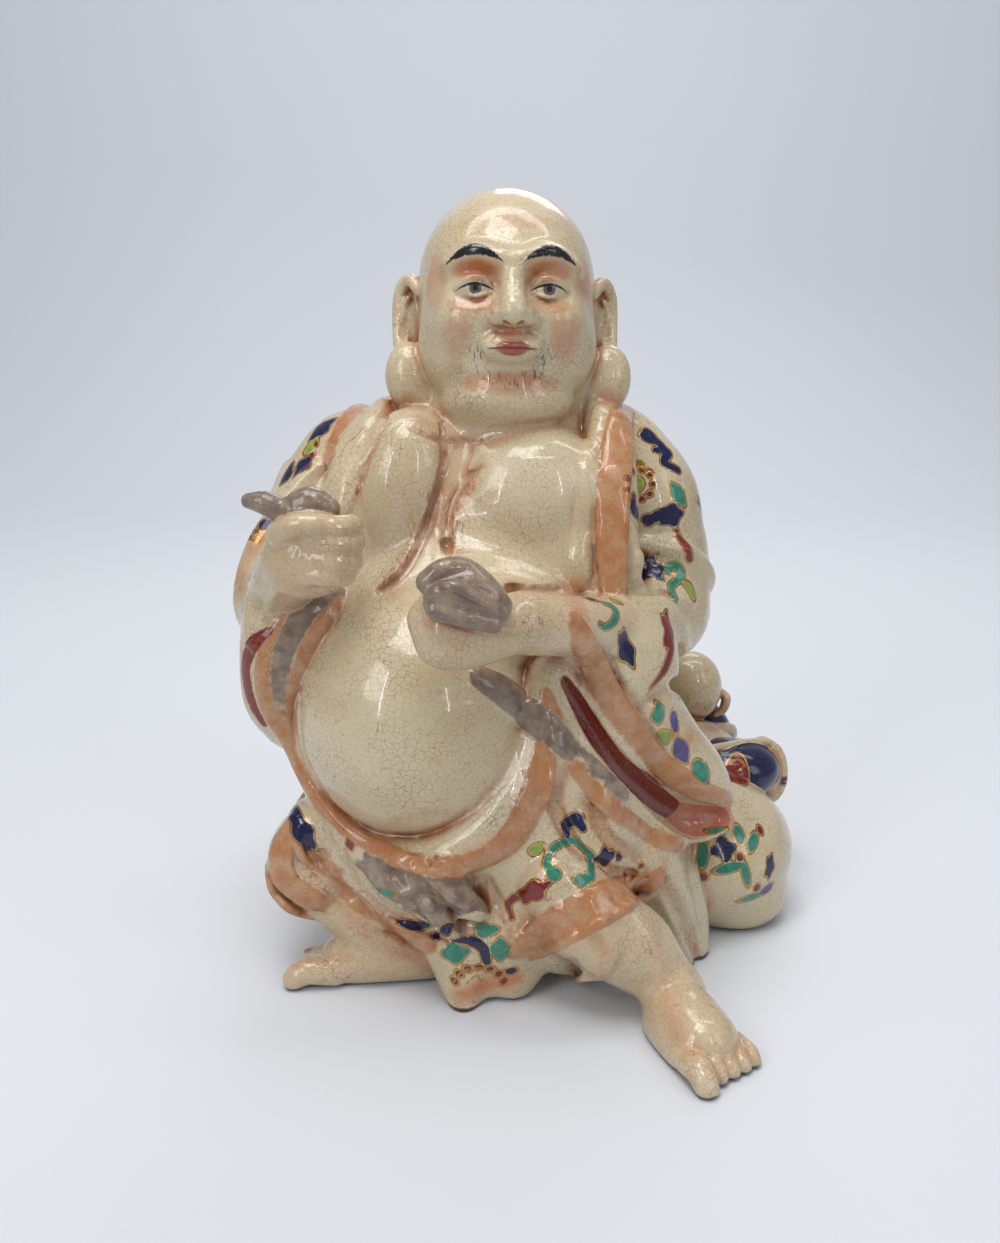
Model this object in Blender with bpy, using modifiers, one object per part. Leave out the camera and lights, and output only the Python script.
"""A seated hotei figure with his sack and a small boy, one piece of crackle-glazed earthenware.

The figure faces -Y and stands on Z = 0, and his right side is at -X. He is built up like clay:
soft masses are fused first, then the bands, hands, feet, ears and face are laid on and fused
again, the slit of the sleeve is cut, and the underside is cut flat.
"""
import math

import bpy
import bmesh
from mathutils import Euler, Matrix, Vector

# Driving dimensions, in metres
HEIGHT = 0.260
HEAD_WIDTH = 0.059
BELLY_WIDTH = 0.084
SACK_WIDTH = 0.076

# The pose and the proportions are shares of the height: one unit is a 260th of it.
# Every number below is in these units, measured from a point on the ground under the chest.
UNIT = HEIGHT / 260
HEAD_HALF = HEAD_WIDTH / UNIT / 2
BELLY_HALF = BELLY_WIDTH / UNIT / 2
SACK_HALF = SACK_WIDTH / UNIT / 2

# How finely the clay is fused, and the share of the fused faces that is kept
MASS_VOXEL = 2.2
FINE_VOXEL = 1.6
KEPT_SHARE = 0.048
CUTTER_SHARE = 0.12

# The head, in its own axes
HEAD_CENTRE = Vector((2.3, -1, 224))
HEAD_TURN = Euler((math.radians(-9), math.radians(1), math.radians(3)))
EYE_SPACING = 11.5
TOE_RADIUS = 3

# Places that several forms share
BELLY_CENTRE = Vector((-27, -34, 92))
SACK_CENTRE = Vector((76, 2, 24))
RIGHT_FIST = Vector((-56, -60, 149))
LEFT_HAND = Vector((-9, -84, 135))
RIGHT_FOOT = Vector((-48, -52, 8))
LEFT_ANKLE = Vector((57, -76, 9))
LEFT_TOES = Vector((66, -103, 4))
BOY_HEAD = Vector((77, 40, 70))
SIDES = (-1, 1)


class Clay:
    """A pile of overlapping ellipsoids and soft tubes, to be fused into one body."""

    def __init__(self, name, collection):
        self.name = name
        self.collection = collection
        self.pieces = []
        self.sphere = bpy.data.meshes.new(name + "_sphere")
        ball = bmesh.new()
        bmesh.ops.create_uvsphere(ball, u_segments=28, v_segments=16, radius=UNIT)
        ball.to_mesh(self.sphere)
        ball.free()
        self.tubes = bpy.data.curves.new(name + "_tubes", "CURVE")
        self.tubes.dimensions = "3D"
        self.tubes.bevel_depth = UNIT
        self.tubes.bevel_resolution = 3
        self.tubes.resolution_u = 6
        self.tubes.use_fill_caps = True

    def place(self, mesh, matrix):
        """Puts a mesh on the pile."""
        piece = bpy.data.objects.new("clay", mesh)
        piece.matrix_world = matrix
        self.collection.objects.link(piece)
        self.pieces.append(piece)

    def ball(self, centre, radii, turn=None):
        """An ellipsoid, with its half-sizes along its own axes."""
        spin = (turn or Euler()).to_matrix().to_4x4()
        size = Matrix.Diagonal(radii).to_4x4()
        self.place(self.sphere, Matrix.Translation(Vector(centre) * UNIT) @ spin @ size)

    def limb(self, *points):
        """A tube with round ends through points of x, y, z and radius."""
        spline = self.tubes.splines.new("BEZIER")
        spline.bezier_points.add(len(points) - 1)
        for knot, (x, y, z, radius) in zip(spline.bezier_points, points):
            knot.co = Vector((x, y, z)) * UNIT
            knot.radius = radius
            knot.handle_left_type = "AUTO"
            knot.handle_right_type = "AUTO"
        for x, y, z, radius in (points[0], points[-1]):
            self.ball((x, y, z), (radius, radius, radius))

    def take(self, other):
        """Puts the evaluated mesh of another object on the pile, and removes the object."""
        view = other.evaluated_get(bpy.context.evaluated_depsgraph_get())
        self.place(bpy.data.meshes.new_from_object(view), Matrix())
        bpy.data.objects.remove(other)

    def make_object(self, voxel, passes):
        """Joins the pile, fuses it and softens its creases by so many passes."""
        if self.tubes.splines:
            tubes = bpy.data.objects.new("tubes", self.tubes)
            self.collection.objects.link(tubes)
            self.take(tubes)
        made = bpy.data.objects.new(self.name, bpy.data.meshes.new(self.name))
        self.collection.objects.link(made)
        with bpy.context.temp_override(
            active_object=made, object=made, selected_editable_objects=[made, *self.pieces]
        ):
            bpy.ops.object.join()
        fuse = made.modifiers.new("Fuse", "REMESH")
        fuse.mode = "VOXEL"
        fuse.voxel_size = voxel * UNIT
        fuse.use_smooth_shade = True
        soften = made.modifiers.new("Soften", "SMOOTH")
        soften.factor = 0.5
        soften.iterations = passes
        return made


def in_head(x, y, z):
    """A place in the head's own axes, as a place in the figure."""
    return HEAD_CENTRE + HEAD_TURN.to_matrix() @ Vector((x, y, z))


def head_ball(clay, centre, radii):
    clay.ball(in_head(*centre), radii, HEAD_TURN)


def head_limb(clay, *points):
    clay.limb(*[(*in_head(x, y, z), radius) for x, y, z, radius in points])


def model_skull(clay):
    """Round skull, full cheeks, jowls and the fold under the chin."""
    wide = HEAD_HALF
    head_ball(clay, (0, 5, 6), (wide, wide + 2, wide + 1.5))
    head_ball(clay, (0, -6, -6), (wide - 3, wide - 5, wide - 3))
    head_ball(clay, (0, -16, -25), (wide - 16, 10, 9))
    head_ball(clay, (0, -8, -31), (wide - 10, 16, 9))
    for side in SIDES:
        head_ball(clay, (side * (wide - 17), -7, -17), (16, 16, 15))


def model_face(clay):
    """A calm, full face: brows, lowered lids, a broad nose and closed lips."""
    head_limb(clay, (0, -27.5, 6, 3.2), (0, -31.5, -2, 3.6), (0, -34, -8, 4.8))
    head_limb(clay, (-8, -28.5, -18, 1.8), (-3, -31.5, -17.2, 2.4), (3, -31.5, -17.2, 2.4), (8, -28.5, -18, 1.8))
    head_limb(clay, (-6.5, -28.5, -21, 1.8), (0, -31, -21.5, 2.8), (6.5, -28.5, -21, 1.8))
    for side in SIDES:
        head_ball(clay, (side * 5, -31, -9.5), (3.6, 3.6, 3.2))
        head_ball(clay, (side * 15, -20, -10), (8.5, 8, 8))
        head_ball(clay, (side * EYE_SPACING, -23.6, 0), (6.4, 5.4, 4.6))
        head_limb(clay, (side * 4, -28.5, 9, 2), (side * 12, -26.5, 10.5, 2.8), (side * 20, -20.5, 7.5, 2.2))


def model_ears(clay):
    """Long ears with ball-shaped lobes."""
    for side in SIDES:
        out = HEAD_HALF + 1
        head_limb(clay, (side * out, 4, 4, 3), (side * (out + 2), 6, 0, 3.4), (side * (out + 2), 5, -12, 3.6))
        head_ball(clay, (side * (out + 1.5), -1, -24.5), (6.6, 6.3, 9.6))


def model_trunk(clay):
    """Neck, chest, breasts and the bare belly."""
    clay.ball((1, 3, 186), (26, 22, 16))
    clay.ball((-5, -4, 162), (46, 30, 32))
    clay.ball((-6, -16, 150), (34, 26, 26))
    clay.ball((-4, 16, 150), (58, 32, 40))
    clay.ball((-4, 18, 95), (60, 44, 70))
    clay.ball((-4, 16, 28), (66, 46, 60))
    clay.limb((-26, 6, 178, 16), (-46, 4, 170, 17), (-60, 2, 152, 17))
    clay.limb((26, 6, 176, 15), (40, 6, 168, 16), (50, 5, 152, 17))


def model_belly(clay):
    """The belly hangs over the lap, and the two breasts lie on it."""
    clay.ball(BELLY_CENTRE, (BELLY_HALF, BELLY_HALF + 2, BELLY_HALF + 3))
    clay.limb((-24, -18, 180, 10), (-30, -30, 165, 14), (-38, -37, 152, 15))
    clay.limb((10, -20, 176, 12), (8, -30, 162, 18), (9, -33, 157, 19), (22, -29, 157, 18))


def model_lap(clay):
    """Both thighs under the robe, and the cloth between them down to the ground."""
    clay.limb((-20, -10, 42, 30), (-48, -28, 38, 24), (-61, -36, 37, 19))
    clay.limb((20, -8, 52, 34), (22, -36, 50, 28), (18, -50, 50, 24))
    clay.ball((-22, -42, 12), (42, 26, 34))
    clay.ball((6, -44, 4), (27, 19, 26))
    clay.ball((40, -24, 30), (24, 26, 32))


def model_sleeve_masses(clay):
    """Upper arms, the left forearm and the bags of both sleeves."""
    clay.limb((48, 6, 160, 18), (53, 3, 138, 18), (54, -1, 114, 18))
    clay.limb((53, -8, 114, 17), (40, -34, 118, 15), (28, -50, 122, 12))
    clay.limb((44, -28, 106, 16), (52, -32, 92, 15), (62, -30, 75, 14), (71, -28, 63, 10))
    clay.ball((26, -42, 96), (24, 20, 26))
    clay.limb((-60, 0, 156, 18), (-68, -8, 136, 18), (-72, -18, 116, 15), (-70, -32, 98, 10))
    clay.ball((-68, -26, 112), (14, 22, 26))


def model_sack(clay):
    """The full sack, with a slack second bulge behind it."""
    wide = SACK_HALF
    clay.ball(SACK_CENTRE, (wide, wide - 5, wide - 10))
    clay.ball(SACK_CENTRE + Vector((-16, 32, 4)), (wide + 6, wide - 2, wide + 8))
    clay.ball(SACK_CENTRE + Vector((-22, -22, -14)), (16, 12, 14))


def model_boy(clay):
    """The boy lies over the back of the sack, with his arms and head on top of it."""
    clay.ball(BOY_HEAD, (12.5, 12.5, 13))
    clay.ball(BOY_HEAD + Vector((17, -11, -28)), (16, 12, 12))
    clay.ball(BOY_HEAD + Vector((2, 10, -22)), (17, 14, 20))
    clay.limb((76, 56, 40, 13), (72, 60, 20, 11), (72, 62, 6, 9))
    clay.limb((90, 50, 38, 11), (94, 50, 20, 9), (96, 48, 6, 8))


def model_collar(clay):
    """The rolled edge of the robe, round the nape and down both sides of the chest."""
    clay.limb((-27, -6, 190, 3.5), (-37, -19, 178, 4), (-44, -28, 165, 5), (-50, -31, 152, 5))
    clay.limb((29, -6, 190, 3.5), (34, -18, 180, 4.5), (38, -27, 165, 6), (38, -35, 150, 6), (37, -40, 139, 6))
    clay.limb((-27, -6, 190, 4), (-18, 18, 190, 5), (2, 26, 190, 5), (22, 18, 190, 5), (29, -6, 190, 4))


def model_bands(clay):
    """The hems: round the belly, over both knees, down to the middle, and the fall by the leg."""
    clay.limb(
        (12, -58, 108, 5), (10, -60, 90, 9), (5, -65, 73, 10), (-9, -70, 58, 9), (-27, -69, 51, 6),
        (-47, -59, 57, 5), (-61, -49, 74, 5), (-67, -42, 98, 5), (-60, -41, 124, 5),
    )
    clay.limb((3, -71, 31, 7), (14, -74, 40, 7.5), (30, -70, 47, 7.5), (43, -61, 51, 7))
    clay.limb((-56, -53, 44, 7), (-70, -46, 44, 8), (-75, -40, 36, 8), (-71, -43, 28, 6))
    clay.limb((-53, -56, 41, 6), (-40, -61, 30, 7), (-24, -64, 18, 7), (-17, -66, 10, 6))
    clay.limb((-8, -58, 24, 12), (-10, -63, 12, 10), (-12, -68, 0, 6))
    clay.limb((44, -40, 40, 12), (52, -38, 24, 12), (56, -36, 0, 12))
    clay.ball((-26, -66, 46), (18, 10, 11))


def model_sleeve_edges(clay):
    """The two lips of the left sleeve, the edges of the right one, and the cloth strips under both."""
    clay.limb((27, -58, 122, 4.5), (33, -58, 108, 5), (44, -54, 92, 5.5), (60, -45, 76, 6), (79, -31, 60, 4))
    clay.limb((17, -58, 108, 4), (29, -56, 90, 5), (42, -50, 74, 5), (58, -42, 60, 5), (72, -36, 53, 5))
    clay.limb((-4, -70, 116, 4), (12, -66, 106, 5), (26, -58, 92, 5), (42, -50, 76, 5))
    clay.limb((-79, -32, 142, 5), (-83, -32, 126, 5), (-83, -34, 108, 5), (-76, -40, 92, 4))
    clay.limb((-62, -46, 134, 4.5), (-71, -43, 118, 5), (-73, -43, 102, 5), (-68, -43, 88, 4))
    clay.limb((-44, -54, 136, 5), (-56, -50, 124, 6), (-64, -46, 108, 6), (-66, -44, 92, 4))


def model_right_arm(clay):
    """The raised forearm, a closed fist with four fingers, and the lump of cloth on it."""
    x, y, z = RIGHT_FIST
    clay.limb((-72, -28, 130, 11), (-67, -44, 139, 10), (x - 5, y + 4, z - 3, 11))
    clay.ball(RIGHT_FIST, (12, 11, 12))
    for number in range(4):
        lift = 7.5 - number * 5.2
        clay.limb((x - 3, y - 9, z + lift, 3.2), (x + 5, y - 10, z + lift, 3.4), (x + 11, y - 4, z + lift, 3.2))
    clay.limb((x - 18, y - 1, z + 17, 3), (x - 9, y - 1, z + 15, 5), (x - 2, y - 1, z + 16, 5.5), (x + 6, y - 1, z + 12, 4))


def model_left_arm(clay):
    """The forearm across the belly, the flat hand with four fingers, and the lump of cloth on it."""
    x, y, z = LEFT_HAND
    clay.limb((40, -36, 121, 10), (22, -60, 128, 9.5), (x + 15, y + 8, z - 1, 9.5))
    clay.ball(LEFT_HAND, (15, 9, 10))
    for number in range(4):
        back = 6.5 - number * 4.6
        clay.limb((x - 4, y + back - 2, z - 7, 3.2), (x - 12, y + back - 2, z - 3, 3.4), (x - 13, y + back, z + 4, 3))
    clay.ball((x - 2, y - 2, z + 12), (13.5, 9, 8.5))


def model_foot(clay, heel, toes, width, inner):
    """A foot flat on the ground, with five toes. The big toe is on its left if inner is 1, else -1."""
    heel = Vector(heel)
    toes = Vector(toes)
    along = (toes - heel).normalized()
    across = along.cross(Vector((0, 0, 1))).normalized()
    middle = heel.lerp(toes, 0.55)
    clay.limb((*heel, width * 0.36), (*(middle + Vector((0, 0, 1.5))), width * 0.4))
    for number in range(5):
        share = inner * (0.5 - number / 4)
        radius = TOE_RADIUS * (1.25 if number == 0 else 1 - 0.06 * number)
        root = middle + across * share * width * 0.5
        tip = toes + across * share * width + along * (3 - 2.4 * number)
        clay.limb((*root, radius * 1.5), (*tip, radius))


def model_legs(clay):
    """The bare shins and feet under the hems."""
    x, y, z = LEFT_ANKLE
    clay.limb((16, -67, 42, 14), (34, -71, 26, 13), (x - 6, y + 4, z + 5, 10.5), (x, y, z, 9))
    model_foot(clay, (x, y - 2, z - 3), LEFT_TOES, 22, 1)
    x, y, z = RIGHT_FOOT
    clay.limb((x - 8, y + 8, z + 20, 12), (x + 8, y + 2, z + 10, 11), (x + 20, y + 3, z + 2, 10))
    model_foot(clay, (x + 18, y + 3, z - 2), (x - 17, y - 2, z - 4), 17, -1)


def model_back_folds(clay):
    """Long folds of the robe down the back, fanning out to the ground."""
    for number in range(5):
        spread = number - 2
        top = Vector((-4 + spread * 12, 44 - abs(spread) * 3, 150))
        middle = Vector((-4 + spread * 19, 57 - abs(spread) * 5, 90))
        foot = Vector((-4 + spread * 24, 55 - abs(spread) * 7, 16))
        clay.limb((*top, 5), (*middle, 6.5), (*foot, 8))


def cut_folds(clay):
    """The slit of the left sleeve, and the creases of the lap."""
    clay.limb((23, -65, 112, 2.5), (31, -62, 98, 3.5), (43, -58, 82, 4), (57, -50, 67, 5), (74, -38, 57, 5.5))
    clay.limb((-78, -44, 128, 2.5), (-80, -44, 112, 3.5), (-76, -46, 96, 3))


def make_glaze():
    """Ivory crackle glaze, very glossy."""
    glaze = bpy.data.materials.new("crackle_glaze")
    glaze.use_nodes = True
    shader = glaze.node_tree.nodes["Principled BSDF"]
    shader.inputs["Base Color"].default_value = (0.62, 0.55, 0.42, 1)
    shader.inputs["Roughness"].default_value = 0.14
    shader.inputs["Metallic"].default_value = 0
    shader.inputs["Coat Weight"].default_value = 0.6
    glaze.diffuse_color = (0.62, 0.55, 0.42, 1)
    return glaze


def make_collection(name):
    collection = bpy.data.collections.new(name)
    bpy.context.scene.collection.children.link(collection)
    return collection


def thin_out(target, share):
    """Keeps a share of the faces, the most where the form turns."""
    thin = target.modifiers.new("Facets", "DECIMATE")
    thin.ratio = share


def subtract(target, cutter):
    """Cuts one object out of another, and leaves the cutter as a wire guide."""
    cutter.hide_render = True
    cutter.display_type = "WIRE"
    cutter.parent = target
    cut = target.modifiers.new("Cut_" + cutter.name, "BOOLEAN")
    cut.operation = "DIFFERENCE"
    cut.solver = "EXACT"
    cut.object = cutter


def make_ground_block(collection):
    """A block whose top is the ground, to cut the underside flat."""
    side = HEIGHT * 2
    bpy.ops.mesh.primitive_cube_add(size=side, location=(0, 0, -side / 2))
    block = bpy.context.object
    block.name = "ground_block"
    bpy.context.collection.objects.unlink(block)
    collection.objects.link(block)
    return block


def centre_on_origin(figure):
    """Moves the middle of the figure's box over the origin."""
    bpy.context.view_layer.update()
    view = figure.evaluated_get(bpy.context.evaluated_depsgraph_get())
    corners = [Vector(corner) for corner in view.bound_box]
    middle = (corners[0] + corners[6]) / 2
    figure.location = (-middle.x, -middle.y, 0)


def main():
    for old in list(bpy.data.objects):
        bpy.data.objects.remove(old)
    parts = make_collection("hotei")
    cutters = make_collection("hotei_cutters")

    masses = Clay("masses", parts)
    for model in (model_skull, model_trunk, model_belly, model_lap, model_sleeve_masses, model_sack, model_boy):
        model(masses)
    soft = masses.make_object(MASS_VOXEL, 8)

    fine = Clay("hotei_figure", parts)
    fine.take(soft)
    for model in (
        model_belly, model_face, model_ears, model_collar, model_bands, model_sleeve_edges,
        model_right_arm, model_left_arm, model_legs, model_back_folds,
    ):
        model(fine)
    figure = fine.make_object(FINE_VOXEL, 3)
    figure.data.materials.append(make_glaze())
    thin_out(figure, KEPT_SHARE)

    folds = Clay("fold_cutter", cutters)
    cut_folds(folds)
    fold_cutter = folds.make_object(FINE_VOXEL, 2)
    thin_out(fold_cutter, CUTTER_SHARE)
    subtract(figure, fold_cutter)
    subtract(figure, make_ground_block(cutters))
    centre_on_origin(figure)


main()
